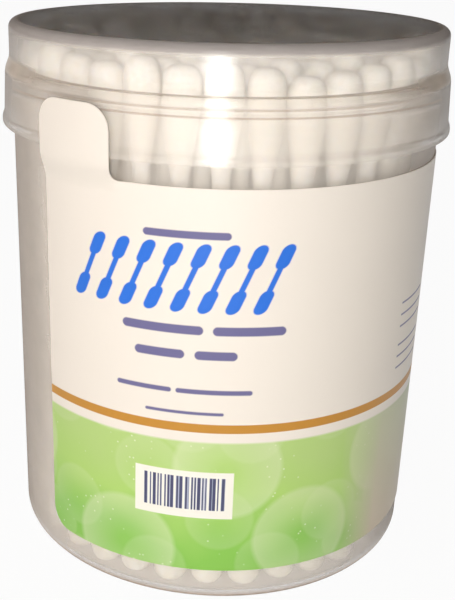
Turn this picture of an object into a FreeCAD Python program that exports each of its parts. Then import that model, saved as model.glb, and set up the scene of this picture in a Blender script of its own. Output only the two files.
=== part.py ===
import FreeCAD, Part
import math
import os
import re

import Sketcher

# A clear plastic tub of cotton swabs: tub, lift-off lid, wrapped film label with a seal tab, and the swabs.
# Origin: the middle of the foot, on the surface that the tub stands on. +Z is up and the label faces -Y.
# An azimuth is in degrees from the front, -Y, and grows towards +X.

doc = FreeCAD.newDocument("cotton_swab_tub")
sheet = doc.addObject("Spreadsheet::Sheet", "Sizes")

# All lengths are in millimetres and all angles in degrees.
sizes = {
    # Tub: its width follows the outer ring of swabs, and its height their length
    "tubDraft": 0.42,
    "tubWall": 0.9,
    "tubFloor": 0.8,
    "tubHeel": 1.5,
    "tubInnerHeel": 0.8,
    "tubRimRound": 0.15,
    "footRecess": 0.4,
    "footRingWidth": 3.0,
    # Snap bead round the outside of the tub's mouth
    "snapDrop": 1.6,
    "snapWidth": 1.0,
    "snapRise": 0.15,
    "snapSlope": 0.25,
    # Lid: a crown above the tub's rim and a wider skirt outside it
    "lidWall": 0.72,
    "lidTop": 0.9,
    "headClearance": 0.6,
    "lidTopRound": 1.1,
    "lidInnerRound": 0.5,
    "lidSeat": 0.35,
    "lidCrownFoot": 1.2,
    "lidStep": 1.7,
    "skirtClearance": 0.32,
    "skirtDepth": 8.1,
    "skirtFlare": 0.26,
    "catchClearance": 0.08,
    "catchGap": 0.5,
    "catchWidth": 0.7,
    "catchSlope": 0.3,
    # Rolled bottom edge of the lid's skirt
    "rollProud": 0.3,
    "rollLength": 0.8,
    "rollSlope": 0.7,
    "rollRound": 0.25,
    # Label film
    "filmThickness": 0.12,
    "filmGap": 0.05,
    "labelBottom": 5.2,
    "labelDrop": 3.05,
    "labelLeft": -49.0,
    "labelSweep": 309.0,
    "labelCorner": 3.3,
    # Seal tab of the label, which reaches over the lid's skirt
    "tabSweep": 22.5,
    "tabCrease": 1.8,
    "tabTurn": 0.2,
    "tabReach": 6.7,
    "tabClearance": 0.22,
    "tabCorner": 3.3,
    "tabFillet": 1.5,
    # Swabs, which stand on the tub's floor in rings round one in the middle
    "outerSwabs": 33,
    "ringSlack": 0.74,
    "swabGap": 0.1,
    "swabProud": 3.2,
    "outerUneven": 1.7,
    "coreUneven": 0.7,
    "swabLength": 74.0,
    "stickRadius": 1.15,
    "tipRadius": 2.54,
    "tipLength": 15.0,
    "tipBelly": 4.5,
    "tipShoulder": 1.3,
    "shoulderRadius": 2.2,
    "endRadius": 1.2,
}

for row, (alias, number) in enumerate(sizes.items(), start=1):
    sheet.set(f"A{row}", alias)
    sheet.set(f"B{row}", str(number))
    sheet.setAlias(f"B{row}", alias)
doc.recompute()


def cells(text):
    """The same sum with each size read from the sheet."""
    return re.sub(r"[A-Za-z]+", lambda word: f"Sizes.{word[0]}" if word[0] in sizes else word[0], text)


def value(text):
    """A sum of sizes as a plain number."""
    return float(sheet.evalExpression(cells(text)))


# The outer ring of swabs sets how wide the tub is, and their length how high.
outerRing = "(tipRadius / sin(180 deg / outerSwabs) + ringSlack)"
footRadius = f"({outerRing} + tipRadius + swabGap + tubWall)"
mouthRadius = f"({footRadius} + tubDraft)"
floorTop = "(footRecess + tubFloor)"
tubHeight = f"({floorTop} + swabLength - swabProud)"


def wallRadius(height):
    """The tub's outer radius at a height, with the draft of its wall."""
    return f"({footRadius} + tubDraft * ({height}) / {tubHeight})"


def newBody(name):
    body = doc.addObject("PartDesign::Body", name)
    body.Label = name
    return body


def uprightSketch(body, name, azimuth):
    """A sketch on the upright plane through Z that faces an azimuth. Its x runs sideways and its y up."""
    sketch = body.newObject("Sketcher::SketchObject", name)
    plane = [feature for feature in body.Origin.OriginFeatures if feature.Role == "XZ_Plane"][0]
    sketch.AttachmentSupport = [(plane, "")]
    sketch.MapMode = "FlatFace"
    turn = FreeCAD.Rotation(FreeCAD.Vector(0, 1, 0), value(azimuth))
    sketch.AttachmentOffset = FreeCAD.Placement(FreeCAD.Vector(), turn)
    return sketch


def hold(sketch, kind, geometry, point, text):
    """Ties one coordinate of a sketch point to a sum of sizes."""
    held = sketch.addConstraint(Sketcher.Constraint(kind, -1, 1, geometry, point, value(text)))
    sketch.setExpression(f"Constraints[{held}]", cells(text))


def revolve(body, name, corners, sweep="360", middle="90"):
    """Turns a closed outline of (radius, height) corners about Z, centred on an azimuth."""
    sketch = uprightSketch(body, name + "Outline", f"{middle} - 90")
    spots = [FreeCAD.Vector(value(radius), value(height), 0) for radius, height in corners]
    for index, spot in enumerate(spots):
        following = spots[(index + 1) % len(spots)]
        sketch.addGeometry(Part.LineSegment(spot, following))
    for index, (radius, height) in enumerate(corners):
        following = (index + 1) % len(spots)
        sketch.addConstraint(Sketcher.Constraint("Coincident", index, 2, following, 1))
        if radius == "0":
            sketch.addConstraint(Sketcher.Constraint("PointOnObject", index, 1, -2))
        else:
            hold(sketch, "DistanceX", index, 1, radius)
        if height == "0":
            sketch.addConstraint(Sketcher.Constraint("PointOnObject", index, 1, -1))
        else:
            hold(sketch, "DistanceY", index, 1, height)
    turned = body.newObject("PartDesign::Revolution", name)
    turned.Profile = sketch
    turned.ReferenceAxis = (sketch, ["V_Axis"])
    turned.Midplane = True
    turned.setExpression("Angle", cells(sweep))
    doc.recompute()
    return turned


def roundOff(body, name, radius, spots):
    """Rounds the circular edges of the body that pass nearest to the given (radius, height) spots."""
    base = body.Tip
    chosen = []
    for across, height in spots:
        misses = []
        for edge in base.Shape.Edges:
            start = edge.valueAt(edge.FirstParameter)
            misses.append(math.hypot(math.hypot(start.x, start.y) - value(across), start.z - value(height)))
        chosen.append(f"Edge{misses.index(min(misses)) + 1}")
    fillet = body.newObject("PartDesign::Fillet", name)
    fillet.Base = (base, chosen)
    fillet.setExpression("Radius", cells(radius))
    doc.recompute()


def cutOutward(body, name, sketch, depth):
    """Cuts a sketch outward through the film that it faces."""
    before = body.Shape.Volume
    pocket = body.newObject("PartDesign::Pocket", name)
    pocket.Profile = sketch
    pocket.Reversed = True
    pocket.setExpression("Length", cells(depth))
    doc.recompute()
    if body.Shape.Volume >= before:
        raise RuntimeError(f"{name} cut nothing")


def trimCorner(body, name, azimuth, height, across, up, radius, depth):
    """Rounds a corner of a film. The film lies on the side of the corner that across and up point to."""
    sketch = uprightSketch(body, name + "Outline", azimuth)
    size = value(radius)
    corner = FreeCAD.Vector(0, value(height), 0)
    beside = corner + FreeCAD.Vector(across * size, 0, 0)
    along = corner + FreeCAD.Vector(0, up * size, 0)
    middle = beside + (along - corner) - (along + beside - corner * 2) * math.sqrt(0.5)
    sketch.addGeometry(Part.LineSegment(corner, beside))
    sketch.addGeometry(Part.LineSegment(along, corner))
    sketch.addGeometry(Part.Arc(beside, middle, along))
    arcStart = 1 if sketch.getPoint(2, 1).isEqual(beside, 1e-6) else 2
    sketch.addConstraint(Sketcher.Constraint("PointOnObject", 0, 1, -2))
    sketch.addConstraint(Sketcher.Constraint("PointOnObject", 1, 1, -2))
    sketch.addConstraint(Sketcher.Constraint("Horizontal", 0))
    sketch.addConstraint(Sketcher.Constraint("Coincident", 1, 2, 0, 1))
    sketch.addConstraint(Sketcher.Constraint("Coincident", 2, arcStart, 0, 2))
    sketch.addConstraint(Sketcher.Constraint("Coincident", 2, 3 - arcStart, 1, 1))
    hold(sketch, "DistanceY", 0, 1, height)
    hold(sketch, "DistanceX", 0, 2, f"{across} * {radius}")
    hold(sketch, "DistanceY", 1, 1, f"{height} + {up} * {radius}")
    rounding = sketch.addConstraint(Sketcher.Constraint("Radius", 2, size))
    sketch.setExpression(f"Constraints[{rounding}]", cells(radius))
    cutOutward(body, name, sketch, depth)


def hollowCorner(body, name, azimuth, height, radius, depth):
    """Cuts a round hole about the top corner of a web, so that a hollow fillet of it is left."""
    sketch = uprightSketch(body, name + "Outline", azimuth)
    centre = FreeCAD.Vector(0, value(height), 0)
    sketch.addGeometry(Part.Circle(centre, FreeCAD.Vector(0, 0, 1), value(radius)))
    sketch.addConstraint(Sketcher.Constraint("PointOnObject", 0, 3, -2))
    hold(sketch, "DistanceY", 0, 3, height)
    rounding = sketch.addConstraint(Sketcher.Constraint("Radius", 0, value(radius)))
    sketch.setExpression(f"Constraints[{rounding}]", cells(radius))
    cutOutward(body, name, sketch, depth)


# Tub: one moulded cup with a foot ring, a slightly wider mouth and a snap bead under the rim.
footRingInner = f"({footRadius} - tubHeel - footRingWidth)"
beadFoot = f"({tubHeight} - snapDrop - snapWidth / 2)"
beadHead = f"({tubHeight} - snapDrop + snapWidth / 2)"
beadRadius = f"({wallRadius(f'{tubHeight} - snapDrop')} + snapRise)"

tub = newBody("tub")
tubOutline = [
    ("0", "footRecess"),
    (f"{footRingInner} - footRecess", "footRecess"),
    (footRingInner, "0"),
    (footRadius, "0"),
    (wallRadius(beadFoot), beadFoot),
    (beadRadius, f"{beadFoot} + snapSlope"),
    (beadRadius, f"{beadHead} - snapSlope"),
    (wallRadius(beadHead), beadHead),
    (mouthRadius, tubHeight),
    (f"{mouthRadius} - tubWall", tubHeight),
    (f"{footRadius} - tubWall", floorTop),
    ("0", floorTop),
]
revolve(tub, "TubShell", tubOutline)
roundOff(tub, "TubHeel", "tubHeel", [(footRadius, "0")])
roundOff(tub, "TubInnerHeel", "tubInnerHeel", [(f"{footRadius} - tubWall", floorTop)])
rimEdges = [(mouthRadius, tubHeight), (f"{mouthRadius} - tubWall", tubHeight)]
roundOff(tub, "TubRim", "tubRimRound", rimEdges)

# Lid: its shoulder rests on the tub's rim, and a catch inside the skirt sits below the snap bead.
lidInside = f"({tubHeight} + swabProud + outerUneven + headClearance)"
lidTopHeight = f"({lidInside} + lidTop)"
crownInner = f"({mouthRadius} - lidSeat)"
crownRadius = f"({crownInner} + lidWall)"
skirtInner = f"({mouthRadius} + skirtClearance)"
skirtRadius = f"({skirtInner} + lidWall)"
skirtBottom = f"({tubHeight} - skirtDepth)"
rollRadius = f"({skirtRadius} + skirtFlare + rollProud)"
rollTop = f"({skirtBottom} + rollLength)"
catchRadius = f"({beadRadius} + catchClearance)"
catchTop = f"({beadFoot} - catchGap)"
catchBottom = f"({catchTop} - catchWidth)"

lid = newBody("lid")
lidOutline = [
    ("0", lidInside),
    (crownInner, lidInside),
    (crownInner, tubHeight),
    (skirtInner, tubHeight),
    (skirtInner, f"{catchTop} + catchSlope"),
    (catchRadius, catchTop),
    (catchRadius, catchBottom),
    (skirtInner, f"{catchBottom} - catchSlope"),
    (f"{skirtInner} + skirtFlare", skirtBottom),
    (rollRadius, skirtBottom),
    (rollRadius, rollTop),
    (f"{skirtRadius} + skirtFlare", f"{rollTop} + rollSlope"),
    (skirtRadius, f"{tubHeight} + lidCrownFoot - lidStep"),
    (crownRadius, f"{tubHeight} + lidCrownFoot"),
    (crownRadius, lidTopHeight),
    ("0", lidTopHeight),
]
revolve(lid, "LidShell", lidOutline)
roundOff(lid, "LidTopEdge", "lidTopRound", [(crownRadius, lidTopHeight)])
roundOff(lid, "LidInnerEdge", "lidInnerRound", [(crownInner, lidInside)])
roundOff(lid, "LidRoll", "rollRound", [(rollRadius, skirtBottom), (rollRadius, rollTop)])

# Label: a film wrapped round most of the tub. Its seal tab stands over the skirt, clear of the lid's way up.
labelTop = f"({skirtBottom} - labelDrop)"
filmFoot = f"({wallRadius('labelBottom')} + filmGap)"
filmHead = f"({wallRadius(labelTop)} + filmGap)"
labelRight = "(labelLeft + labelSweep)"
labelMiddle = "(labelLeft + labelSweep / 2)"
tabRight = "(labelLeft + tabSweep)"
tabMiddle = "(labelLeft + tabSweep / 2)"
slopeDrop = "(filmThickness * 0.6)"
tabRoot = f"({labelTop} - labelCorner)"
tabRootRadius = f"({wallRadius(tabRoot)} + filmGap)"
creaseHeight = f"({labelTop} + tabCrease)"
creaseRadius = f"({wallRadius(creaseHeight)} + filmGap)"
creaseOutside = f"({creaseHeight} - {slopeDrop})"
creaseOutsideRadius = f"({wallRadius(creaseOutside)} + filmGap + filmThickness)"
turnHeight = f"({skirtBottom} - tabTurn)"
tabRadius = f"({rollRadius} + tabClearance)"
tabTop = f"({skirtBottom} + tabReach)"

label = newBody("label")
filmOutline = [
    (filmFoot, "labelBottom"),
    (f"{filmFoot} + filmThickness", "labelBottom"),
    (f"{filmHead} + filmThickness", labelTop),
    (filmHead, labelTop),
]
revolve(label, "LabelFilm", filmOutline, "labelSweep", labelMiddle)
tabOutline = [
    (tabRootRadius, tabRoot),
    (f"{tabRootRadius} + filmThickness", tabRoot),
    (creaseOutsideRadius, creaseOutside),
    (f"{tabRadius} + filmThickness", f"{turnHeight} - {slopeDrop}"),
    (f"{tabRadius} + filmThickness", tabTop),
    (tabRadius, tabTop),
    (tabRadius, turnHeight),
    (creaseRadius, creaseHeight),
]
revolve(label, "SealTab", tabOutline, "tabSweep", tabMiddle)
webTop = f"({labelTop} + tabFillet)"
webRight = f"({tabRight} + asin(tabFillet / {filmHead}) / 1 deg)"
webOutline = [
    (tabRootRadius, tabRoot),
    (f"{tabRootRadius} + filmThickness", tabRoot),
    (f"{wallRadius(webTop)} + filmGap + filmThickness", webTop),
    (f"{wallRadius(webTop)} + filmGap", webTop),
]
webSweep = f"({webRight} - labelLeft - tabSweep / 2)"
webMiddle = f"({webRight} - {webSweep} / 2)"
revolve(label, "TabWeb", webOutline, webSweep, webMiddle)
cutDepth = f"({mouthRadius} * 2)"
trimCorner(label, "LabelFootLeft", "labelLeft", "labelBottom", 1, 1, "labelCorner", cutDepth)
trimCorner(label, "LabelFootRight", labelRight, "labelBottom", -1, 1, "labelCorner", cutDepth)
trimCorner(label, "LabelHeadRight", labelRight, labelTop, -1, -1, "labelCorner", cutDepth)
trimCorner(label, "TabHeadLeft", "labelLeft", tabTop, 1, -1, "tabCorner", cutDepth)
trimCorner(label, "TabHeadRight", tabRight, tabTop, -1, -1, "tabCorner", cutDepth)
hollowCorner(label, "TabHollow", webRight, webTop, "tabFillet", cutDepth)


# Swab: a stick with a wound cotton tip at each end, in flat facets, with its lower end at zero.
swabProfile = [
    ("endRadius", "0"),
    ("shoulderRadius", "tipShoulder"),
    ("tipRadius", "tipBelly"),
    ("stickRadius", "tipLength"),
    ("stickRadius", "swabLength - tipLength"),
    ("tipRadius", "swabLength - tipBelly"),
    ("shoulderRadius", "swabLength - tipShoulder"),
    ("endRadius", "swabLength"),
]


def facetedSwab(name, sides):
    rings = []
    for radius, height in swabProfile:
        across, up = value(radius), value(height)
        turns = [2 * math.pi * side / sides for side in range(sides)]
        rings.append([FreeCAD.Vector(across * math.cos(turn), across * math.sin(turn), up) for turn in turns])
    faces = [Part.Face(Part.makePolygon(ring + ring[:1])) for ring in (rings[0], rings[-1])]
    for low, high in zip(rings, rings[1:]):
        for side in range(sides):
            after = (side + 1) % sides
            facet = [low[side], low[after], high[after], high[side], low[side]]
            faces.append(Part.Face(Part.makePolygon(facet)))
    solid = Part.Solid(Part.Shell(faces))
    if solid.Volume < 0:
        solid.reverse()
    swab = doc.addObject("Part::Feature", name)
    swab.Shape = solid
    return swab


outerSides = 8
innerSides = 6
outerPattern = facetedSwab("OuterSwab", outerSides)
innerPattern = facetedSwab("InnerSwab", innerSides)


def standSwab(name, pattern, ringRadius, azimuth, number, uneven):
    """One swab in the tub. Some are held a little higher than others by the swabs that press on them."""
    goldenShare = 0.618
    lift = value(uneven) * (number * goldenShare % 1) ** 2
    turned = math.radians(azimuth)
    foot = FreeCAD.Vector(ringRadius * math.sin(turned), -ringRadius * math.cos(turned), 0)
    foot.z = value(floorTop) + lift
    swab = doc.addObject("Part::Feature", name)
    swab.Shape = pattern.Shape
    swab.Placement = FreeCAD.Placement(foot, FreeCAD.Rotation(FreeCAD.Vector(0, 0, 1), azimuth))
    swab.Label = name
    return swab


# Rings of swabs: the outer ring lies along the wall, swab by swab, and each inner ring is a group.
subParts = [tub, lid, label]
outerRadius = value(outerRing)
ringTotal = math.floor(outerRadius / value("tipRadius * 2"))
placed = 0
for ring in range(ringTotal):
    ringRadius = outerRadius * (ringTotal - ring) / ringTotal
    room = int(value("outerSwabs"))
    if ring > 0:
        room = math.floor(math.pi / math.asin(value("tipRadius") / ringRadius))
    uneven = "coreUneven" if ring == ringTotal - 1 else "outerUneven"
    members = []
    for place in range(room):
        azimuth = 360 * (place + ring / 2) / room
        placed += 1
        if ring == 0:
            name = f"swab_{placed:02d}"
            subParts.append(standSwab(name, outerPattern, ringRadius, azimuth, placed, uneven))
        else:
            name = f"ring_{ring + 1}_swab_{place + 1}"
            members.append(standSwab(name, innerPattern, ringRadius, azimuth, placed, uneven))
    if ring > 0:
        group = doc.addObject("Part::Compound", f"swabs_ring_{ring + 1}")
        group.Links = members
        group.Label = f"swabs_ring_{ring + 1}"
        subParts.append(group)
subParts.append(standSwab("swab_centre", innerPattern, 0, 0, placed + 1, "coreUneven"))
doc.recompute()

for item in doc.Objects:
    if "Invalid" in item.State or "Error" in item.State:
        raise RuntimeError(f"{item.Name} did not build: {item.State}")
for part in subParts:
    if part.Shape.isNull() or not part.Shape.isValid():
        raise RuntimeError(f"{part.Label} has no valid shape")

os.makedirs("parts", exist_ok=True)
for part in subParts:
    part.Shape.exportStep(f"parts/{part.Label}.step")
print(len(subParts), "sub-parts,", placed + 1, "swabs")
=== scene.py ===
import math
import random

import bmesh
import bpy
from mathutils import Matrix, Vector, noise


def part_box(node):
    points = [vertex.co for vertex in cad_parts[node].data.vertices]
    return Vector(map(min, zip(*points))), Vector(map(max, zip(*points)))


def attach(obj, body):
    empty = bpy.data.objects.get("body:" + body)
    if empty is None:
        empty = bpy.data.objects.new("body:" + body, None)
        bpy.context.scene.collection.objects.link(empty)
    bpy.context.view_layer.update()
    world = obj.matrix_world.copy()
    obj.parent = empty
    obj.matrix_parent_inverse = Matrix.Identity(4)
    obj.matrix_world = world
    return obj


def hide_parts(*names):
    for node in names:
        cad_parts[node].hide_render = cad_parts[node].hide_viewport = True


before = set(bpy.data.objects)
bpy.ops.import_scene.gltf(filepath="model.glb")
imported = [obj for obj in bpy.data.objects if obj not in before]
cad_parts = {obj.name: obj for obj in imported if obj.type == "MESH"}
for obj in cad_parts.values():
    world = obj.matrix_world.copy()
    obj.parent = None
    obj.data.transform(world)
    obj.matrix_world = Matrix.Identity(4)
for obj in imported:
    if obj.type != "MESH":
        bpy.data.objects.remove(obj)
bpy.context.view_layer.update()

mm = 0.001


# Colours are written as sRGB hex and turned to linear here.
def ink(code):
    parts = [int(code[place:place + 2], 16) / 255 for place in (0, 2, 4)]
    linear = [part / 12.92 if part <= 0.04045 else ((part + 0.055) / 1.055) ** 2.4 for part in parts]
    return (*linear, 1)


# Adds one node: a setting is a property of the node or, by name or number, the value of an input.
def addNode(material, kind, settings=None, links=None):
    node = material.node_tree.nodes.new(kind)
    for key, setting in (settings or {}).items():
        if isinstance(key, str) and hasattr(node, key):
            setattr(node, key, setting)
        else:
            node.inputs[key].default_value = setting
    for key, source in (links or {}).items():
        material.node_tree.links.new(source, node.inputs[key])
    return node


def newMaterial(name):
    material = bpy.data.materials.new(name)
    material.use_nodes = True
    material.node_tree.nodes.clear()
    return material


def pickNothing():
    if bpy.context.object and bpy.context.object.mode != "OBJECT":
        bpy.ops.object.mode_set(mode="OBJECT")
    bpy.ops.object.select_all(action="DESELECT")


def pickOnly(piece):
    pickNothing()
    piece.select_set(True)
    bpy.context.view_layer.objects.active = piece


# In edit mode, picks the edges or points whose places pass a test.
def pickWhere(piece, kind, test):
    bpy.ops.mesh.select_mode(type=kind)
    bpy.ops.mesh.select_all(action="DESELECT")
    mesh = bmesh.from_edit_mesh(piece.data)
    if kind == "VERT":
        for vert in mesh.verts:
            vert.select_set(test(vert.co))
    else:
        for edge in mesh.edges:
            edge.select_set(test(edge.verts[0].co) and test(edge.verts[1].co))
    mesh.select_flush_mode()
    bmesh.update_edit_mesh(piece.data)


turning = {
    "near": 0.02,  # mm, how close to a place a point counts as being there
    "discRing": 0.4,  # mm, the narrow ring round the spokes of a disc
    "smooth": 28,  # degrees, the sharpest turn between two faces that still shades as round
}


# Draws a ring from the first (radius, height) of an outline, in mm, through the others. It leaves the piece
# in edit mode with its last ring picked.
def drawRing(name, outline, sides, fill):
    pickNothing()
    radius, height = outline[0][:2]
    bpy.ops.mesh.primitive_circle_add(vertices=sides, radius=radius * mm, fill_type=fill)
    drawn = bpy.context.object
    drawn.name = name
    bpy.ops.object.mode_set(mode="EDIT")
    bpy.ops.mesh.select_mode(type="EDGE")
    bpy.ops.mesh.select_all(action="SELECT")
    bpy.ops.transform.translate(value=(0, 0, height * mm))
    if fill == "NGON":
        bpy.ops.mesh.region_to_loop()
    for nextRadius, nextHeight, *_ in outline[1:]:
        rise = (nextHeight - height) * mm
        grow = nextRadius / radius
        bpy.ops.mesh.extrude_region_move(TRANSFORM_OT_translate={"value": (0, 0, rise)})
        bpy.ops.transform.resize(value=(grow, grow, 1), center_override=(0, 0, nextHeight * mm))
        radius, height = nextRadius, nextHeight
    return drawn


# Turns a shell from an outline whose two ends are closed with discs, and rounds the edges that it says.
def turnShell(name, outline, sides):
    shell = drawRing(name, outline, sides, "NOTHING")
    near = turning["near"] * mm
    bpy.ops.mesh.select_all(action="SELECT")
    bpy.ops.mesh.fill_holes(sides=0)
    for radius, height, *rounding in outline:
        if rounding:
            size, steps = rounding
            pickWhere(shell, "EDGE", lambda spot: abs(math.hypot(spot.x, spot.y) - radius * mm) < near
                      and abs(spot.z - height * mm) < near)
            bpy.ops.mesh.bevel(offset=size * mm, segments=steps, profile=0.5, affect="EDGES")
    for end in (outline[0], outline[-1]):
        mesh = bmesh.from_edit_mesh(shell.data)
        bpy.ops.mesh.select_mode(type="FACE")
        bpy.ops.mesh.select_all(action="DESELECT")
        for face in mesh.faces:
            atEnd = abs(face.calc_center_median().z - end[1] * mm) < near
            face.select_set(len(face.verts) > 4 and atEnd)
        bpy.ops.mesh.inset(thickness=turning["discRing"] * mm)
        bpy.ops.mesh.poke()
    bpy.ops.mesh.select_all(action="SELECT")
    bpy.ops.mesh.normals_make_consistent(inside=False)
    bpy.ops.object.mode_set(mode="OBJECT")
    bpy.ops.object.shade_smooth_by_angle(angle=math.radians(turning["smooth"]))
    return shell


# Polypropylene, injection moulded and unpigmented: clear but faintly milky, with soft reflections. Where the
# eye meets it at a slant it looks through more plastic, so it turns hazier towards its edges; there its milk
# is also painted darker, as painted shade.
clearPlastic = {
    "haze": "fcf6ef",
    "index": 1.49,
    "roughness": 0.15,
    "edgeVeil": 0.6,  # the share of milk that is added where the wall is seen edge-on
    "edgePower": 2.4,  # the higher, the narrower the hazy edge
    "ripple": 9.0, "rippleDepth": 0.15,  # mm, the moulded wall's faint waves
    "rippleShow": 0.25,
    "cloud": 4.0, "cloudRange": (0.88, 1.12),  # mm, and how unevenly the milk lies
    "passing": (0.995, 0.985, 0.972, 1),  # the share of red, green and blue light that a wall lets through
}


# How far a spot lies in a zone, from 0 to 1. A zone has pairs that run from just outside it to well inside:
# "reach" from the axis and "height", in mm, and "slanted", which is 0 where the wall faces the eye and 1
# where it is seen edge-on. "until" is the pair of heights between which it ends again.
def zoneShare(material, reach, up, facing, zone):
    ramps = [("reach", reach, mm, 0.0, 1.0), ("height", up, mm, 0.0, 1.0), ("until", up, mm, 1.0, 0.0),
             ("slanted", facing, 1.0, 0.0, 1.0)]
    share = None
    for key, source, unit, outside, inside in ramps:
        if key in zone:
            ramp = addNode(material, "ShaderNodeMapRange", {
                1: zone[key][0] * unit, 2: zone[key][1] * unit, 3: outside, 4: inside},
                {0: source}).outputs[0]
            share = ramp if share is None else addNode(
                material, "ShaderNodeMath", {"operation": "MULTIPLY"}, {0: share, 1: ramp}).outputs[0]
    return share


# Clear plastic with a share of matt milk in it, which grows at a slant and changes from zone to zone. At a
# slant the milk's colour darkens towards a painted edge shade, and some zones give it painted shade of their
# own.
def makePlastic(name, finish, shape):
    plastic = newMaterial(name)
    place = addNode(plastic, "ShaderNodeTexCoord").outputs["Object"]
    ripple = addNode(plastic, "ShaderNodeTexNoise", {"Scale": 1 / (finish["ripple"] * mm), "Detail": 2.0},
                     {"Vector": place}).outputs["Fac"]
    bump = addNode(plastic, "ShaderNodeBump", {
        "Strength": finish["rippleShow"], "Distance": finish["rippleDepth"] * mm},
        {"Height": ripple}).outputs["Normal"]
    glass = addNode(plastic, "ShaderNodeBsdfPrincipled", {
        "Base Color": (1, 1, 1, 1), "Roughness": finish["roughness"], "IOR": finish["index"],
        "Transmission Weight": 1.0}, {"Normal": bump}).outputs[0]
    cloud = addNode(plastic, "ShaderNodeTexNoise", {"Scale": 1 / (finish["cloud"] * mm), "Detail": 3.0},
                    {"Vector": place}).outputs["Fac"]
    uneven = addNode(plastic, "ShaderNodeMapRange", {
        3: finish["cloudRange"][0], 4: finish["cloudRange"][1]}, {0: cloud}).outputs[0]
    flat = addNode(plastic, "ShaderNodeVectorMath", {"operation": "MULTIPLY", 1: (1, 1, 0)},
                   {0: place}).outputs["Vector"]
    reach = addNode(plastic, "ShaderNodeVectorMath", {"operation": "LENGTH"}, {0: flat}).outputs["Value"]
    up = addNode(plastic, "ShaderNodeSeparateXYZ", links={0: place}).outputs["Z"]
    facing = addNode(plastic, "ShaderNodeLayerWeight", {"Blend": 0.5}).outputs["Facing"]
    slant = addNode(plastic, "ShaderNodeMath", {"operation": "POWER", 1: finish["edgePower"]},
                    {0: facing}).outputs[0]
    share = addNode(plastic, "ShaderNodeMath", {
        "operation": "MULTIPLY_ADD", 1: finish["edgeVeil"], 2: shape["veil"]}, {0: slant}).outputs[0]
    # The milk's colour darkens from the haze towards the edge tone where the wall is seen edge-on: painted
    # shade.
    tone = addNode(plastic, "ShaderNodeMix", {
        "data_type": "RGBA", 6: ink(finish["haze"]), 7: ink(shape["paintedEdgeShade"])}, {0: facing}).outputs[2]
    # Zones add their own milk, and the darker tones of some are painted shade, as their entries say.
    for zone in shape["zones"]:
        inside = zoneShare(plastic, reach, up, facing, zone)
        share = addNode(plastic, "ShaderNodeMix", {3: zone["veil"]}, {0: inside, 2: share}).outputs[0]
        if "tone" in zone:
            tone = addNode(plastic, "ShaderNodeMix", {"data_type": "RGBA", 7: ink(zone["tone"])},
                           {0: inside, 6: tone}).outputs[2]
    milkShare = addNode(plastic, "ShaderNodeMath", {"operation": "MULTIPLY", "use_clamp": True},
                        {0: share, 1: uneven}).outputs[0]
    milk = addNode(plastic, "ShaderNodeBsdfDiffuse", links={"Color": tone, "Normal": bump}).outputs[0]
    body = addNode(plastic, "ShaderNodeMixShader", links={0: milkShare, 1: glass, 2: milk}).outputs[0]
    # Lamp light goes straight through the thin wall, so that the swabs behind it are lit.
    path = addNode(plastic, "ShaderNodeLightPath").outputs
    passing = addNode(plastic, "ShaderNodeMath", {"operation": "MAXIMUM"},
                      {0: path["Is Shadow Ray"], 1: path["Is Diffuse Ray"]}).outputs[0]
    through = addNode(plastic, "ShaderNodeBsdfTransparent", {"Color": finish["passing"]}).outputs[0]
    wall = addNode(plastic, "ShaderNodeMixShader", links={0: passing, 1: body, 2: through}).outputs[0]
    addNode(plastic, "ShaderNodeOutputMaterial", links={"Surface": wall})
    return plastic


# The tub's wall in mm, which the label and the swabs follow: its outer radius at the foot and at the mouth,
# its thickness, and the heights of its rim and of the floor inside.
tubWall = {"foot": 31.0, "mouth": 31.42, "thickness": 0.9, "rim": 72.0, "floor": 1.2}
tubShape = {
    # (radius, height) in mm, then (round, steps) where an edge is rounded: from the recess under the foot, up
    # the wall, past the bead and down inside to the floor
    "outline": [(26.1, 0.4), (26.5, 0.0), (tubWall["foot"], 0.0, 1.5, 6),
                (31.408, 69.9), (31.561, 70.15), (31.561, 70.65), (31.414, 70.9),
                (tubWall["mouth"], tubWall["rim"], 0.15, 3),
                (tubWall["mouth"] - tubWall["thickness"], tubWall["rim"], 0.15, 3),
                (tubWall["foot"] - tubWall["thickness"], tubWall["floor"], 0.8, 4)],
    "sides": 192,
    "veil": 0.22,  # the share of milk in the wall
    # the milk's darker tone where the wall is seen edge-on: painted shade
    "paintedEdgeShade": "a8998a",
    "zones": [
        {"reach": (0, 1), "height": (1.8, 1.0), "veil": 0.5,
         "tone": "bda58e"},  # floor and heel, seen through their length; their darker warm tone is painted shade for the little light that reaches the floor inside
        {"height": (71.6, 71.8), "veil": 0.2, "tone": "ddd2c8"},  # rim
        {"reach": (31.0, 31.3), "height": (70.4, 70.5), "until": (70.7, 70.8), "veil": 0.6,
         "tone": "a08b78"},  # line of the bead: a dark brown band, painted shade where the bead's step shows as a dark line
    ],
}
tubShell = turnShell("tubShell", tubShape["outline"], tubShape["sides"])
tubShell.data.materials.append(makePlastic("polypropyleneMoulded", clearPlastic, tubShape))
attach(tubShell, "tub")
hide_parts("tub")
print("tub shell", len(tubShell.data.polygons), "faces")

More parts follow.
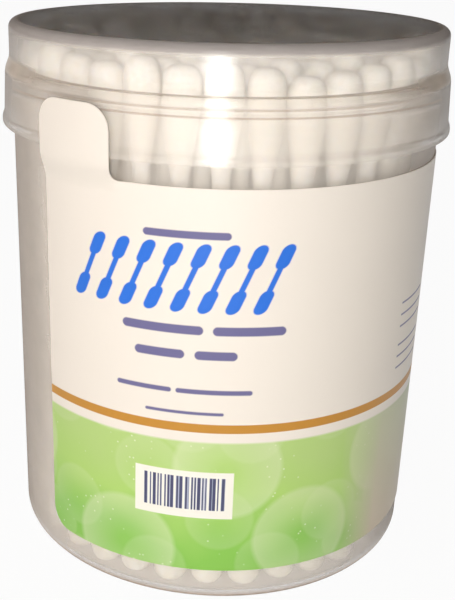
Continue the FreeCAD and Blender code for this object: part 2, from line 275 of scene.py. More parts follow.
lidShape = {
    # from the underside of the top, down inside past the seat and the catch, round the rolled edge and up
    "outline": [(31.07, 77.5, 0.5, 3), (31.07, 72.0), (31.74, 72.0),
                (31.74, 69.7), (31.641, 69.4), (31.641, 68.7), (31.74, 68.4),
                (32.0, 63.9), (33.02, 63.9, 0.25, 3), (33.02, 64.7, 0.25, 3), (32.72, 65.4, 0.3, 2),
                (32.46, 71.5, 0.5, 3), (31.79, 73.2, 0.5, 3), (31.79, 78.4, 1.1, 6)],
    "sides": 192,
    "veil": 0.14,
    # the milk's darker tone where the wall is seen edge-on: painted shade
    "paintedEdgeShade": "978b80",
    "zones": [
        {"reach": (30.7, 30.2), "veil": 0.035},  # flat top, the clearest part
        {"height": (71.8, 71.9), "until": (72.1, 72.2), "veil": 0.1, "tone": "ddd2c8"},  # seat on the rim
        {"reach": (30.8, 31.0), "height": (71.1, 71.5), "until": (73.1, 73.6), "slanted": (0.45, 0.7),
         "veil": 0.7, "tone": "e2d8ce"},  # shoulder, seen edge-on
        {"reach": (30.3, 30.8), "height": (76.8, 77.3), "veil": 0.75, "tone": "b3aead"},  # rounded top rim, in a grey tone that is painted shade for its dim look
        {"reach": (31.8, 31.75), "height": (69.5, 69.6), "until": (69.8, 69.9), "veil": 0.6,
         "tone": "a08b78"},  # line of the catch: a dark brown band, painted shade where the catch's step shows as a dark line
    ],
}
lidShell = turnShell("lidShell", lidShape["outline"], lidShape["sides"])
lidShell.data.materials.append(makePlastic("polypropyleneLid", clearPlastic, lidShape))
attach(lidShell, "lid")
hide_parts("lid")
print("lid shell", len(lidShell.data.polygons), "faces")

# Swab: a rolled paper stick, and at each end cotton that was spun on wet and dried firm. In mm.
swabShape = {
    "length": 74.0,
    "stickRadius": 1.15,
    # (radius, height) of the wound cotton, from its end to where it thins out on the stick
    "tip": [(0.7, 0.0), (1.45, 0.16), (2.0, 0.6), (2.34, 1.3), (2.5, 2.6), (2.54, 4.5), (2.44, 6.6),
            (2.16, 8.8), (1.82, 11.0), (1.46, 13.2), (1.22, 14.8)],
    "neck": 0.3,  # from the cotton's end to the bare stick
    "hover": 0.25,  # the share of a swab's height over the floor that its foot keeps
    "wallRing": 26.0,  # swabs that stand further out than this line the wall
    # (from, to, by): degrees to the right, and how much lower the tops of the swabs at the wall stand there
    "sunk": [(11, 19, 2.6), (19, 27, 2.3), (27, 35, 1.0)],
    "lump": 0.16, "lumpSize": 3.2, "lumpMost": 0.04,  # how far, how wide, and how far outwards at the most
    "thinnest": 0.93,  # the thinnest tip's share of the full width
    "noiseSpan": 90,  # how far apart the swabs read the noise
    "outerSides": 18,
    "innerSides": 10,
    "seed": 7,
}
hair = 1e-6  # m, for comparing places that should be equal
weld = 0.005 * mm  # points of a CAD solid that are closer than this are one


def makeSwab(name, sizes, sides):
    lower = sizes["tip"]
    upper = [(radius, sizes["length"] - height) for radius, height in reversed(lower)]
    foot = lower[-1][1] + sizes["neck"]
    head = sizes["length"] - foot
    stick = [(sizes["stickRadius"], foot), (sizes["stickRadius"], head)]
    swab = drawRing(name, lower + stick + upper, sides, "NGON")
    bpy.ops.mesh.edge_face_add()
    bpy.ops.mesh.select_all(action="SELECT")
    bpy.ops.mesh.normals_make_consistent(inside=False)
    bpy.ops.object.mode_set(mode="OBJECT")
    bpy.ops.object.shade_smooth()
    for face in swab.data.polygons:
        heights = [swab.data.vertices[index].co.z for index in face.vertices]
        onStick = min(heights) > foot * mm - hair and max(heights) < head * mm + hair
        face.material_index = 1 if onStick else 0
    return swab


# Cotton: bleached fibre, spun on in a spiral. Matt and soft, cream-white, with fine windings and loose lint.
cottonFinish = {
    "tones": [(0.3, "f7f1ea"), (0.62, "fffdf9")],  # a random tone from the lint, darker in its hollows as painted shade and lighter on its crests
    "winding": 1.1,  # mm from turn to turn
    "windingShow": 0.3, "waveTurn": 0.31,  # how much it shows, and the wave's own spacing at a scale of 1
    "lint": 0.7, "relief": 0.25,  # mm
    "scatter": 2.0, "scatterTint": (1.0, 0.85, 0.7),  # mm that light travels in it, for red, green and blue
}


def makeCotton(name, finish):
    cotton = newMaterial(name)
    place = addNode(cotton, "ShaderNodeTexCoord").outputs["Object"]
    winding = addNode(cotton, "ShaderNodeTexWave", {
        "wave_type": "BANDS", "bands_direction": "Z", "Scale": finish["waveTurn"] / (finish["winding"] * mm),
        "Distortion": 5.0, "Detail": 3.0, "Detail Scale": 1.4}, {"Vector": place}).outputs["Fac"]
    lint = addNode(cotton, "ShaderNodeTexNoise", {
        "Scale": 1 / (finish["lint"] * mm), "Detail": 5.0, "Roughness": 0.65},
        {"Vector": place}).outputs["Fac"]
    relief = addNode(cotton, "ShaderNodeMath", {"operation": "MULTIPLY_ADD", 1: finish["windingShow"]},
                     {0: winding, 2: lint}).outputs[0]
    bump = addNode(cotton, "ShaderNodeBump", {"Strength": 0.5, "Distance": finish["relief"] * mm},
                   {"Height": relief}).outputs["Normal"]
    tone = addNode(cotton, "ShaderNodeValToRGB", links={"Fac": lint})
    for stop, (share, code) in zip(tone.color_ramp.elements, finish["tones"]):
        stop.position = share
        stop.color = ink(code)
    fibre = addNode(cotton, "ShaderNodeBsdfPrincipled", {
        "Roughness": 0.95, "Sheen Weight": 0.25, "Sheen Roughness": 0.5, "Specular IOR Level": 0.2,
        "Subsurface Weight": 0.5, "Subsurface Radius": finish["scatterTint"],
        "Subsurface Scale": finish["scatter"] * mm},
        {"Base Color": tone.outputs["Color"], "Normal": bump}).outputs[0]
    addNode(cotton, "ShaderNodeOutputMaterial", links={"Surface": fibre})
    return cotton


# Paper: rolled tight and glued, so the stick is smooth and white with faint lengthwise streaks.
paperFinish = {
    "tones": [(0.35, "f4eee6"), (0.65, "fdf9f3")],
    "streak": 0.6, "drawn": 0.08,  # mm across a streak, and the pattern's lengthwise share of its rate
    "roughness": 0.6,
}


def makePaper(name, finish):
    paper = newMaterial(name)
    place = addNode(paper, "ShaderNodeTexCoord").outputs["Object"]
    slim = addNode(paper, "ShaderNodeMapping", {"Scale": (1, 1, finish["drawn"])},
                   {"Vector": place}).outputs[0]
    streak = addNode(paper, "ShaderNodeTexNoise", {"Scale": 1 / (finish["streak"] * mm), "Detail": 3.0},
                     {"Vector": slim}).outputs["Fac"]
    tone = addNode(paper, "ShaderNodeValToRGB", links={"Fac": streak})
    for stop, (share, code) in zip(tone.color_ramp.elements, finish["tones"]):
        stop.position = share
        stop.color = ink(code)
    rolled = addNode(paper, "ShaderNodeBsdfPrincipled", {"Roughness": finish["roughness"]},
                     {"Base Color": tone.outputs["Color"]}).outputs[0]
    addNode(paper, "ShaderNodeOutputMaterial", links={"Surface": rolled})
    return paper


# A copy of a swab with its foot at a place, turned, and with lumps of its own in the cotton.
def placeSwab(pattern, name, foot, sizes, chance):
    swab = pattern.copy()
    swab.data = pattern.data.copy()
    swab.name = name
    bpy.context.scene.collection.objects.link(swab)
    span = sizes["noiseSpan"]
    shift = Vector((chance.uniform(-span, span), chance.uniform(-span, span), chance.uniform(-span, span)))
    fat = [chance.uniform(sizes["thinnest"], 1.0), chance.uniform(sizes["thinnest"], 1.0)]  # foot and top
    turned = math.degrees(math.atan2(foot.x, -foot.y))
    onWall = math.hypot(foot.x, foot.y) > sizes["wallRing"] * mm
    sunk = sum(fall for low, high, fall in sizes["sunk"] if onWall and low < turned < high)
    drop = (foot.z - tubWall["floor"] * mm) * (1 - sizes["hover"])
    fullest = max(radius for radius, _ in sizes["tip"]) * mm
    cottonLength = sizes["tip"][-1][1] * mm
    for vert in swab.data.vertices:
        atTop = vert.co.z > sizes["length"] / 2 * mm
        nearEnd = min(vert.co.z, sizes["length"] * mm - vert.co.z)
        if nearEnd < cottonLength + hair:
            across = math.hypot(vert.co.x, vert.co.y)
            lump = noise.noise(vert.co / (sizes["lumpSize"] * mm) + shift) * sizes["lump"] * mm
            grown = across * fat[atTop] + min(lump, sizes["lumpMost"] * mm) * across / fullest
            vert.co.x *= grown / across
            vert.co.y *= grown / across
        vert.co.z -= sunk * mm if atTop else drop
    turn = Matrix.Rotation(chance.uniform(0, 2 * math.pi), 4, "Z")
    swab.data.transform(Matrix.Translation(foot) @ turn)
    return swab


# The feet of a node's loose solids, in order round the tub.
def looseFeet(node):
    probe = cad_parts[node].copy()
    probe.data = probe.data.copy()
    probe.parent = None
    bpy.context.scene.collection.objects.link(probe)
    pickOnly(probe)
    bpy.ops.object.mode_set(mode="EDIT")
    bpy.ops.mesh.select_all(action="SELECT")
    bpy.ops.mesh.remove_doubles(threshold=weld)
    bpy.ops.mesh.separate(type="LOOSE")
    bpy.ops.object.mode_set(mode="OBJECT")
    solids = list(bpy.context.selected_objects)
    feet = []
    for solid in solids:
        corners = [vert.co for vert in solid.data.vertices]
        middle = [(min(spot[axis] for spot in corners) + max(spot[axis] for spot in corners)) / 2
                  for axis in (0, 1)]
        feet.append(Vector((*middle, min(spot.z for spot in corners))))
    for solid in solids:
        bpy.data.objects.remove(solid)
    return sorted(feet, key=lambda foot: math.atan2(foot.x, -foot.y))


chance = random.Random(swabShape["seed"])
cotton = makeCotton("cottonWound", cottonFinish)
paper = makePaper("paperRolled", paperFinish)
outerPattern = makeSwab("swabPatternOuter", swabShape, swabShape["outerSides"])
innerPattern = makeSwab("swabPatternInner", swabShape, swabShape["innerSides"])
for pattern in (outerPattern, innerPattern):
    pattern.data.materials.append(cotton)
    pattern.data.materials.append(paper)

# The swabs along the wall take the place of a CAD node each, and so does the one in the middle.
for node in sorted(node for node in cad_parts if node.startswith("swab_")):
    low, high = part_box(node)
    foot = Vector(((low.x + high.x) / 2, (low.y + high.y) / 2, low.z))
    pattern = innerPattern if node == "swab_centre" else outerPattern
    swab = placeSwab(pattern, node.replace("swab_", "swabWound_"), foot, swabShape, chance)
    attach(swab, "tub")
    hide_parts(node)

# Each inner ring is one node of loose solids, and becomes one piece of joined swabs.
for node in sorted(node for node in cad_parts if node.startswith("swabs_ring_")):
    feet = looseFeet(node)
    swabs = [placeSwab(innerPattern, f"{node}_{number}", foot, swabShape, chance)
             for number, foot in enumerate(feet)]
    pickOnly(swabs[0])
    for swab in swabs:
        swab.select_set(True)
    bpy.ops.object.join()
    swabs[0].name = node.replace("swabs_ring_", "swabRing_")
    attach(swabs[0], "tub")
    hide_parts(node)
    print(node, len(feet), "swabs")
bpy.data.objects.remove(outerPattern)
bpy.data.objects.remove(innerPattern)

# Label: a film of printed polypropylene, cut flat, wrapped round the tub, with a tab that seals the lid.
labelShape = {
    "left": -48.3, "sweep": 308.3, "tabSweep": 22.0, "tabFade": 5.0,  # degrees
    "bottom": 5.2, "top": 60.85, "tabTop": 70.6,  # mm, heights
    "corner": 3.3, "hollow": 1.5, "cornerSteps": 8,  # mm, the rounding of the corners and of the tab's foot
    "thickness": 0.12, "gap": 0.05,  # mm
    "leanFoot": 58.8, "turnHeight": 63.7, "tabRadius": 33.36,  # mm, where the tab bends out and how far
    "columnStep": 1.5, "rowStep": 3.0, "leanRows": 8,  # degrees, mm
    "flatRadius": 31.4, "mapHeight": 80.0,  # mm, the round that the film is cut for, and the map's height
    "near": 0.01, "smooth": 35,  # mm within which a point is at a place, and degrees that shade as round
}
perDegree = math.radians(labelShape["flatRadius"])  # mm of film to a degree


def easeIn(share):
    held = min(max(share, 0.0), 1.0)
    return held * held * (3 - 2 * held)


# The film's radius on the wall, and where it is: under the tab it leans out in one soft bend past the skirt.
def filmRadius(height, turned, sizes):
    risen = min(height, tubWall["rim"]) / tubWall["rim"]
    onWall = tubWall["foot"] + (tubWall["mouth"] - tubWall["foot"]) * risen
    onWall += sizes["gap"] + sizes["thickness"]
    rise = easeIn((height - sizes["leanFoot"]) / (sizes["turnHeight"] - sizes["leanFoot"]))
    tabRight = sizes["left"] + sizes["tabSweep"]
    besideTab = 1 - easeIn((turned - tabRight) / sizes["tabFade"])
    return onWall, onWall + (sizes["tabRadius"] - onWall) * rise * besideTab


# The flat film: a rectangle with the tab drawn out of it, rounded corners, and cuts for the wrapping.
def cutFilm(name, sizes):
    pickNothing()
    bpy.ops.mesh.primitive_plane_add(size=1)
    film = bpy.context.object
    film.name = name
    left, bottom = sizes["left"] * perDegree * mm, sizes["bottom"] * mm
    right = (sizes["left"] + sizes["sweep"]) * perDegree * mm
    tabRight = (sizes["left"] + sizes["tabSweep"]) * perDegree * mm
    top, tabTop = sizes["top"] * mm, sizes["tabTop"] * mm
    near = sizes["near"] * mm
    bpy.ops.object.mode_set(mode="EDIT")
    bpy.ops.mesh.select_all(action="SELECT")
    bpy.ops.transform.resize(value=(right - left, top - bottom, 1), center_override=(0, 0, 0))
    bpy.ops.transform.translate(value=((right + left) / 2, (top + bottom) / 2, 0))
    bpy.ops.mesh.bisect(plane_co=(tabRight, 0, 0), plane_no=(1, 0, 0))
    pickWhere(film, "EDGE", lambda spot: spot.y > top - near and spot.x < tabRight + near)
    bpy.ops.mesh.extrude_region_move(TRANSFORM_OT_translate={"value": (0, tabTop - top, 0)})
    bpy.ops.mesh.select_all(action="SELECT")
    bpy.ops.mesh.dissolve_faces()
    corners = [(left, bottom, "corner"), (right, bottom, "corner"), (right, top, "corner"),
               (left, tabTop, "corner"), (tabRight, tabTop, "corner"), (tabRight, top, "hollow")]
    for across, up, size in corners:
        pickWhere(film, "VERT", lambda spot: abs(spot.x - across) < near and abs(spot.y - up) < near)
        bpy.ops.mesh.bevel(offset=sizes[size] * mm, segments=sizes["cornerSteps"], profile=0.5,
                           affect="VERTICES")
    columns = int(sizes["sweep"] / sizes["columnStep"])
    for column in range(1, columns):
        bpy.ops.mesh.select_all(action="SELECT")
        across = left + (right - left) * column / columns
        bpy.ops.mesh.bisect(plane_co=(across, 0, 0), plane_no=(1, 0, 0))
    rows = int((sizes["tabTop"] - sizes["bottom"]) / sizes["rowStep"])
    heights = [sizes["bottom"] + sizes["rowStep"] * row for row in range(1, rows)]
    leanStep = (sizes["turnHeight"] - sizes["leanFoot"]) / sizes["leanRows"]
    heights += [sizes["leanFoot"] + leanStep * row for row in range(sizes["leanRows"] + 1)]
    for height in heights:
        bpy.ops.mesh.select_all(action="SELECT")
        bpy.ops.mesh.bisect(plane_co=(0, height * mm, 0), plane_no=(0, 1, 0))
    bpy.ops.object.mode_set(mode="OBJECT")
    return film


# Maps the print on the flat film, wraps it round the tub and gives it its thickness.
def wrapFilm(film, sizes):
    left, wide = sizes["left"] * perDegree * mm, sizes["sweep"] * perDegree * mm
    printMap = film.data.uv_layers.active or film.data.uv_layers.new()
    printMap.name = "filmPrint"
    for loop in film.data.loops:
        spot = film.data.vertices[loop.vertex_index].co
        printMap.data[loop.index].uv = ((spot.x - left) / wide, spot.y / (sizes["mapHeight"] * mm))
    for vert in film.data.vertices:
        turned = vert.co.x / mm / perDegree
        onWall, radius = filmRadius(vert.co.y / mm, turned, sizes)
        turned = math.radians(turned * onWall / radius)  # the film stands off unstretched
        vert.co = (radius * mm * math.sin(turned), -radius * mm * math.cos(turned), vert.co.y)
    pickOnly(film)
    wall = film.modifiers.new("filmWall", "SOLIDIFY")
    wall.thickness = sizes["thickness"] * mm
    wall.offset = -1
    wall.use_even_offset = True
    bpy.ops.object.modifier_apply(modifier=wall.name)
    bpy.ops.object.shade_smooth_by_angle(angle=math.radians(sizes["smooth"]))


# The print, in mm on the film: x runs from the front's middle to the right, and y is the height.
labelPrint = {
    "film": "f6f0e9",
    "gold": "c98f33", "goldHeights": (27.05, 28.35),
    "greenTop": 25.65, "greenPale": "b9d985", "greenMiddle": "b3dc76", "greenDeep": "8ccb55",
    "greenMiddleAt": 0.4, "greenDeepAt": 0.85,  # shares of the way down
    "fieldFade": (0.25, 0.1),  # mm, how far the green's upper edge blurs down and up
    "cloud": 14.0, "wander": 0.9,  # mm, and how far the greens stray from even bands
    "greenEnd": (36.0, 52.0), "faded": "cdd3b4", "fadedFoot": "d8cab6",  # degrees right, where it fades
    "bubble": "e4efcb", "bubbles": [(19.0, 0.42), (12.0, 0.16)],  # mm from one to the next, and strength
    "bubbleEdge": (0.42, 0.38), "bubbleFill": (0.05, 0.4), "bubbleCore": 0.1,  # its outline, fill and middle
    "speck": "f4f9e6", "specks": 1.9, "flocks": 7.0,  # mm from speck to speck, and between their flocks
    "speckEdge": (0.09, 0.04), "speckShow": 0.6, "flockEdge": (0.52, 0.6),
    "patch": "fbfaf3", "patchBox": (-10.6, 3.3, 13.7, 21.0),  # left, right, bottom, top
    "bars": "474a70", "barTint": "b9c1da", "barWidth": 0.42,
    "barCut": (0.49, 0.52), "tintCut": (0.42, 0.46),  # where in the noise a bar and its tint begin
    "barMargins": (1.1, 1.1, 1.3, 0.9),  # left, right, below, above
    "blue": "2273e6", "pitch": 3.6, "lean": 0.42, "rowMiddle": 48.6,  # a row of leaning swabs
    "rowEnds": (-5.5, 2.5),  # in pitches from the front's middle
    "rowStrokes": [(46.0, 52.0, 0.4), (45.2, 46.7, 0.92), (51.3, 52.8, 0.92)],  # from, to, half width
    "violet": "6f6c9c",  # plain bars, each with its left, right, height and half width
    "rules": [(-9.3, 1.1, 54.8, 0.5), (-12.0, -2.2, 41.9, 0.62), (0.3, 8.7, 41.9, 0.62),
              (-10.2, -4.6, 38.4, 0.62), (-2.0, 2.4, 38.4, 0.62), (-13.1, -6.0, 33.1, 0.34),
              (-4.7, 4.9, 33.1, 0.34), (-9.0, 1.3, 29.9, 0.22)]
             + [(31.0, 40.0, height, 0.13) for height in (31.5, 33.3, 35.1, 38.0, 39.8, 41.6)],
    "grain": 6.0, "grainDepth": 0.1, "grainShow": 0.12,  # mm across and deep, and strength
    "roughness": (0.36, 0.5), "index": 1.49,
}


# The share of a round-ended stroke at each spot of the print, 1 inside and 0 outside.
def stroke(material, spot, start, end, radius, soft=0.08):
    run = Vector(end) - Vector(start)
    reach = addNode(material, "ShaderNodeVectorMath", {"operation": "SUBTRACT", 1: (*start, 0)},
                    {0: spot}).outputs["Vector"]
    per = run / max(run.length_squared, 1e-9)
    along = addNode(material, "ShaderNodeVectorMath", {"operation": "DOT_PRODUCT", 1: (*per, 0)},
                    {0: reach}).outputs["Value"]
    held = addNode(material, "ShaderNodeMath", {"operation": "ADD", "use_clamp": True, 1: 0.0},
                   {0: along}).outputs[0]
    nearest = addNode(material, "ShaderNodeVectorMath", {"operation": "SCALE", 0: (*run, 0)},
                      {"Scale": held}).outputs["Vector"]
    away = addNode(material, "ShaderNodeVectorMath", {"operation": "DISTANCE"},
                   {0: reach, 1: nearest}).outputs["Value"]
    return addNode(material, "ShaderNodeMapRange", {1: radius - soft, 2: radius + soft, 3: 1.0, 4: 0.0},
                   {0: away}).outputs[0]


# 1 where a value lies between two others, and 0 elsewhere.
def band(material, value, low, high, soft=0.05):
    above = addNode(material, "ShaderNodeMapRange", {1: low - soft, 2: low + soft}, {0: value}).outputs[0]
    below = addNode(material, "ShaderNodeMapRange", {1: high - soft, 2: high + soft, 3: 1.0, 4: 0.0},
                    {0: value}).outputs[0]
    return addNode(material, "ShaderNodeMath", {"operation": "MULTIPLY"}, {0: above, 1: below}).outputs[0]


def boxOf(material, across, up, left, right, low, high):
    return addNode(material, "ShaderNodeMath", {"operation": "MULTIPLY"}, {
        0: band(material, across, left, right), 1: band(material, up, low, high)}).outputs[0]


def eitherOf(material, marks):
    total = marks[0]
    for mark in marks[1:]:
        total = addNode(material, "ShaderNodeMath", {"operation": "MAXIMUM"}, {0: total, 1: mark}).outputs[0]
    return total


# Prints layers of (share, colour) over what is under them, one after the other.
def printLayers(material, under, layers):
    for share, code in layers:
        under = addNode(material, "ShaderNodeMix", {"data_type": "RGBA", 7: ink(code)},
                        {0: share, 6: under}).outputs[2]
    return under


# The green foot of the label: clouded greens with soft bubbles and specks, faded at its right end.
def greenField(film, sizes, shape, spot, across, up):
    fall = addNode(film, "ShaderNodeMapRange", {1: sizes["greenTop"], 2: shape["bottom"]}, {0: up}).outputs[0]
    cloud = addNode(film, "ShaderNodeTexNoise", {"Scale": 1 / sizes["cloud"], "Detail": 1.5},
                    {"Vector": spot}).outputs["Fac"]
    wander = addNode(film, "ShaderNodeMath", {
        "operation": "MULTIPLY_ADD", 1: sizes["wander"], 2: -sizes["wander"] / 2}, {0: cloud}).outputs[0]
    depth = addNode(film, "ShaderNodeMath", {"operation": "ADD", "use_clamp": True},
                    {0: fall, 1: wander}).outputs[0]
    green = addNode(film, "ShaderNodeValToRGB", links={"Fac": depth})
    first, last = green.color_ramp.elements
    first.color = ink(sizes["greenPale"])
    last.color = ink(sizes["greenDeep"])
    last.position = sizes["greenDeepAt"]
    green.color_ramp.elements.new(sizes["greenMiddleAt"]).color = ink(sizes["greenMiddle"])
    layers = []
    for cell, strength in sizes["bubbles"]:  # each brightens towards its rim
        bubble = addNode(film, "ShaderNodeTexVoronoi", {
            "voronoi_dimensions": "2D", "Scale": 1 / cell, "Randomness": 0.85},
            {"Vector": spot}).outputs["Distance"]
        disc = addNode(film, "ShaderNodeMapRange", {
            1: sizes["bubbleEdge"][0], 2: sizes["bubbleEdge"][1]}, {0: bubble}).outputs[0]
        rim = addNode(film, "ShaderNodeMapRange", {
            1: sizes["bubbleFill"][0], 2: sizes["bubbleFill"][1], 3: sizes["bubbleCore"] * strength,
            4: strength}, {0: bubble}).outputs[0]
        shown = addNode(film, "ShaderNodeMath", {"operation": "MULTIPLY"}, {0: disc, 1: rim}).outputs[0]
        layers.append((shown, sizes["bubble"]))
    speck = addNode(film, "ShaderNodeTexVoronoi", {"voronoi_dimensions": "2D", "Scale": 1 / sizes["specks"]},
                    {"Vector": spot}).outputs["Distance"]
    dot = addNode(film, "ShaderNodeMapRange", {
        1: sizes["speckEdge"][0], 2: sizes["speckEdge"][1], 4: sizes["speckShow"]}, {0: speck}).outputs[0]
    flock = addNode(film, "ShaderNodeTexNoise", {"Scale": 1 / sizes["flocks"], "Detail": 1.0},
                    {"Vector": spot}).outputs["Fac"]
    flocks = addNode(film, "ShaderNodeMapRange", {
        1: sizes["flockEdge"][0], 2: sizes["flockEdge"][1]}, {0: flock}).outputs[0]
    glint = addNode(film, "ShaderNodeMath", {"operation": "MULTIPLY"}, {0: dot, 1: flocks}).outputs[0]
    layers.append((glint, sizes["speck"]))
    field = printLayers(film, green.outputs["Color"], layers)
    sideways = addNode(film, "ShaderNodeMapRange", {
        1: sizes["greenEnd"][0] * perDegree, 2: sizes["greenEnd"][1] * perDegree}, {0: across}).outputs[0]
    faded = addNode(film, "ShaderNodeMix", {
        "data_type": "RGBA", 6: ink(sizes["faded"]), 7: ink(sizes["fadedFoot"])}, {0: fall}).outputs[2]
    return addNode(film, "ShaderNodeMix", {"data_type": "RGBA"}, {0: sideways, 6: field, 7: faded}).outputs[2]


# The layers of the white patch and its plain bars of random widths.
def patchLayers(film, sizes, across, up):
    left, right, low, high = sizes["patchBox"]
    leftMargin, rightMargin, lowMargin, highMargin = sizes["barMargins"]
    patch = boxOf(film, across, up, left, right, low, high)
    barArea = boxOf(film, across, up, left + leftMargin, right - rightMargin,
                    low + lowMargin, high - highMargin)
    barNoise = addNode(film, "ShaderNodeTexNoise", {
        "noise_dimensions": "1D", "Scale": 1 / sizes["barWidth"], "Detail": 0.0},
        {"W": across}).outputs["Fac"]
    layers = [(patch, sizes["patch"])]
    for (start, full), code in ((sizes["tintCut"], sizes["barTint"]), (sizes["barCut"], sizes["bars"])):
        shown = addNode(film, "ShaderNodeMapRange", {1: start, 2: full}, {0: barNoise}).outputs[0]
        shown = addNode(film, "ShaderNodeMath", {"operation": "MULTIPLY"}, {0: shown, 1: barArea}).outputs[0]
        layers.append((shown, code))
    return layers


# The blue row: one leaning swab, repeated at each pitch.
def swabRow(film, sizes, across, up):
    pitch, lean = sizes["pitch"], sizes["lean"]
    slid = addNode(film, "ShaderNodeMath", {"operation": "MULTIPLY_ADD", 1: -lean},
                   {0: up, 2: across}).outputs[0]
    home = addNode(film, "ShaderNodeMath", {"operation": "ADD", 1: lean * sizes["rowMiddle"]},
                   {0: slid}).outputs[0]
    step = addNode(film, "ShaderNodeMath", {"operation": "WRAP", 1: pitch / 2, 2: -pitch / 2},
                   {0: home}).outputs[0]
    local = addNode(film, "ShaderNodeCombineXYZ", links={0: step, 1: up}).outputs[0]
    marks = [stroke(film, local, (0, low), (0, high), radius) for low, high, radius in sizes["rowStrokes"]]
    ends = band(film, home, sizes["rowEnds"][0] * pitch, sizes["rowEnds"][1] * pitch)
    return addNode(film, "ShaderNodeMath", {"operation": "MULTIPLY"}, {
        0: eitherOf(film, marks), 1: ends}).outputs[0]


# Label film: biaxially stretched polypropylene, white, printed and varnished. Smooth, with a soft sheen.
def makeFilm(name, sizes, shape):
    film = newMaterial(name)
    place = addNode(film, "ShaderNodeUVMap", {"uv_map": "filmPrint"}).outputs["UV"]
    spot = addNode(film, "ShaderNodeVectorMath", {
        "operation": "MULTIPLY_ADD", 1: (shape["sweep"] * perDegree, shape["mapHeight"], 0),
        2: (shape["left"] * perDegree, 0, 0)}, {0: place}).outputs["Vector"]
    parts = addNode(film, "ShaderNodeSeparateXYZ", links={0: spot}).outputs
    across, up = parts["X"], parts["Y"]
    fieldShare = addNode(film, "ShaderNodeMapRange", {
        1: sizes["greenTop"] - sizes["fieldFade"][0], 2: sizes["greenTop"] + sizes["fieldFade"][1],
        3: 1.0, 4: 0.0}, {0: up}).outputs[0]
    colour = addNode(film, "ShaderNodeMix", {"data_type": "RGBA", 6: ink(sizes["film"])}, {
        0: fieldShare, 7: greenField(film, sizes, shape, spot, across, up)}).outputs[2]
    rules = [stroke(film, spot, (left, height), (right, height), radius)
             for left, right, height, radius in sizes["rules"]]
    layers = [(band(film, up, *sizes["goldHeights"]), sizes["gold"])]
    layers += patchLayers(film, sizes, across, up)
    layers += [(swabRow(film, sizes, across, up), sizes["blue"]), (eitherOf(film, rules), sizes["violet"])]
    colour = printLayers(film, colour, layers)
    grain = addNode(film, "ShaderNodeTexNoise", {"Scale": 1 / sizes["grain"], "Detail": 3.0},
                    {"Vector": spot}).outputs["Fac"]
    roughness = addNode(film, "ShaderNodeMapRange", {
        3: sizes["roughness"][0], 4: sizes["roughness"][1]}, {0: grain}).outputs[0]
    bump = addNode(film, "ShaderNodeBump", {
        "Strength": sizes["grainShow"], "Distance": sizes["grainDepth"] * mm}, {"Height": grain}).outputs[0]
    varnished = addNode(film, "ShaderNodeBsdfPrincipled", {"IOR": sizes["index"]}, {
        "Base Color": colour, "Roughness": roughness, "Normal": bump}).outputs[0]
    addNode(film, "ShaderNodeOutputMaterial", links={"Surface": varnished})
    return film


labelFilm = cutFilm("labelFilm", labelShape)
wrapFilm(labelFilm, labelShape)
labelFilm.data.materials.append(makeFilm("polypropyleneFilmPrinted", labelPrint, labelShape))
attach(labelFilm, "tub")
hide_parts("label")
print("label", len(labelFilm.data.polygons), "faces")

# Stage: a pale floor that is white for the eye and in reflections, and keeps the tub's shadow.
stage = {
    "radius": 6.0, "sides": 64,  # m
    "tone": "f2f1ee",
    "whiteShare": 0.95,  # what is left shows the shadow
}
pickNothing()
bpy.ops.mesh.primitive_circle_add(vertices=stage["sides"], radius=stage["radius"], fill_type="NGON")
floor = bpy.context.object
floor.name = "floor"
white = newMaterial("floorPaper")
whitePath = addNode(white, "ShaderNodeLightPath").outputs
seen = eitherOf(white, [whitePath[f"Is {kind} Ray"] for kind in ("Camera", "Glossy", "Transmission")])
seenShare = addNode(white, "ShaderNodeMath", {"operation": "MULTIPLY", 1: stage["whiteShare"]},
                    {0: seen}).outputs[0]
matt = addNode(white, "ShaderNodeBsdfDiffuse", {"Color": ink(stage["tone"])}).outputs[0]
glow = addNode(white, "ShaderNodeEmission", {"Color": (1, 1, 1, 1), "Strength": 1.0}).outputs[0]
floorMix = addNode(white, "ShaderNodeMixShader", links={0: seenShare, 1: matt, 2: glow}).outputs[0]
addNode(white, "ShaderNodeOutputMaterial", links={"Surface": floorMix})
floor.data.materials.append(white)

# The room: soft light for what is matt, and for gloss a dim room with vague lighter things in it.
room = {
    # linear tones of the soft light, and the side on which it is brighter: the front, the left and above
    "light": ((0.04, 0.037, 0.035, 1), (0.26, 0.226, 0.197, 1)),
    "brightSide": (-0.78, -0.5, 0.38), "brightFrom": (-0.6, 1.0),
    "shine": ((0.007, 0.006, 0.006, 1), (0.045, 0.04, 0.038, 1)),  # linear tones between and on the things
    "things": 3.5, "thingsFrom": (0.4, 0.62),
    "leftShine": (0.3, 0.27, 0.24, 1), "leftFrom": (-0.45, -0.9),
}
world = bpy.data.worlds.new("room")
bpy.context.scene.world = world
world.use_nodes = True
world.node_tree.nodes.clear()
side = addNode(world, "ShaderNodeTexCoord").outputs["Generated"]
things = addNode(world, "ShaderNodeTexNoise", {"Scale": room["things"], "Detail": 1.0},
                 {"Vector": side}).outputs["Fac"]
thingShare = addNode(world, "ShaderNodeMapRange", {
    1: room["thingsFrom"][0], 2: room["thingsFrom"][1]}, {0: things}).outputs[0]
shineTone = addNode(world, "ShaderNodeMix", {
    "data_type": "RGBA", 6: room["shine"][0], 7: room["shine"][1]}, {0: thingShare}).outputs[2]
sideways = addNode(world, "ShaderNodeSeparateXYZ", links={0: side}).outputs["X"]
leftShare = addNode(world, "ShaderNodeMapRange", {
    1: room["leftFrom"][0], 2: room["leftFrom"][1]}, {0: sideways}).outputs[0]
shineTone = addNode(world, "ShaderNodeMix", {"data_type": "RGBA", 7: room["leftShine"]},
                    {0: leftShare, 6: shineTone}).outputs[2]
shine = addNode(world, "ShaderNodeBackground", links={"Color": shineTone}).outputs[0]
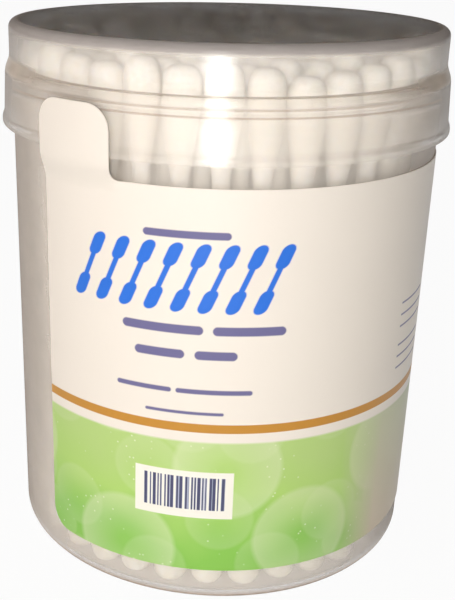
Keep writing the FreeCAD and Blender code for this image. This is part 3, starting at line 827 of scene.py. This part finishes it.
bright = addNode(world, "ShaderNodeVectorMath", {"operation": "DOT_PRODUCT", 1: room["brightSide"]},
                 {0: side}).outputs["Value"]
brightShare = addNode(world, "ShaderNodeMapRange", {
    1: room["brightFrom"][0], 2: room["brightFrom"][1]}, {0: bright}).outputs[0]
lightTone = addNode(world, "ShaderNodeMix", {
    "data_type": "RGBA", 6: room["light"][0], 7: room["light"][1]}, {0: brightShare}).outputs[2]
soft = addNode(world, "ShaderNodeBackground", links={"Color": lightTone}).outputs[0]
worldPath = addNode(world, "ShaderNodeLightPath").outputs
roomMix = addNode(world, "ShaderNodeMixShader",
                  links={0: worldPath["Is Diffuse Ray"], 1: shine, 2: soft}).outputs[0]
addNode(world, "ShaderNodeOutputWorld", links={"Surface": roomMix})

# Lamps, in metres: the key is a tall strip behind the camera that shows as the streak on the lid, keyEdge
# softens the streak's sides and glow its surroundings, above is a soft top light, and fill a wide one at the
# left.
lamps = {
    "key": {"place": (-0.013, -0.27, 0.113), "size": (0.05, 0.19), "power": 0.185,
            "colour": (1.0, 0.978, 0.935)},
    "keyEdge": {"place": (-0.013, -0.272, 0.113), "size": (0.086, 0.21), "power": 0.195,
                "colour": (1.0, 0.978, 0.935)},
    "glow": {"place": (-0.065, -0.29, 0.12), "size": (0.2, 0.23), "power": 0.11,
             "colour": (1.0, 0.965, 0.91)},
    "above": {"place": (-0.1, -0.02, 0.65), "size": (0.5, 0.5), "power": 0.38, "colour": (1.0, 0.95, 0.9)},
    "fill": {"place": (-0.48, -0.48, 0.2), "size": (0.4, 0.4), "power": 0.44, "colour": (1.0, 0.82, 0.72)},
}
lampAim = Vector((0, 0, 0.04))
for lampName, sizes in lamps.items():
    lamp = bpy.data.lights.new(lampName, "AREA")
    lamp.shape = "ELLIPSE"
    lamp.size, lamp.size_y = sizes["size"]
    lamp.energy = sizes["power"]
    lamp.color = sizes["colour"]
    holder = bpy.data.objects.new(lampName, lamp)
    holder.location = sizes["place"]
    holder.rotation_euler = (lampAim - holder.location).to_track_quat("-Z", "Y").to_euler()
    bpy.context.scene.collection.objects.link(holder)
print("stage and lamps")

# Camera, at the photograph's angle. The photograph is cropped off centre, so the lens is shifted.
photoCamera = {
    "place": (0, -0.15134, 0.09210), "clip": 0.01,  # m
    "turn": (70.385, -0.864, 3.980),  # degrees
    "lens": 60.158, "sensor": 36,  # mm
    "shift": (0.1177, -0.0404),
}
camera = bpy.data.objects.new("camera", bpy.data.cameras.new("camera"))
camera.location = photoCamera["place"]
camera.rotation_euler = [math.radians(turn) for turn in photoCamera["turn"]]
camera.data.lens = photoCamera["lens"]
camera.data.shift_x, camera.data.shift_y = photoCamera["shift"]
camera.data.sensor_width = photoCamera["sensor"]
camera.data.clip_start = photoCamera["clip"]
bpy.context.scene.collection.objects.link(camera)
bpy.context.scene.camera = camera
bpy.context.scene.view_settings.view_transform = "Standard"
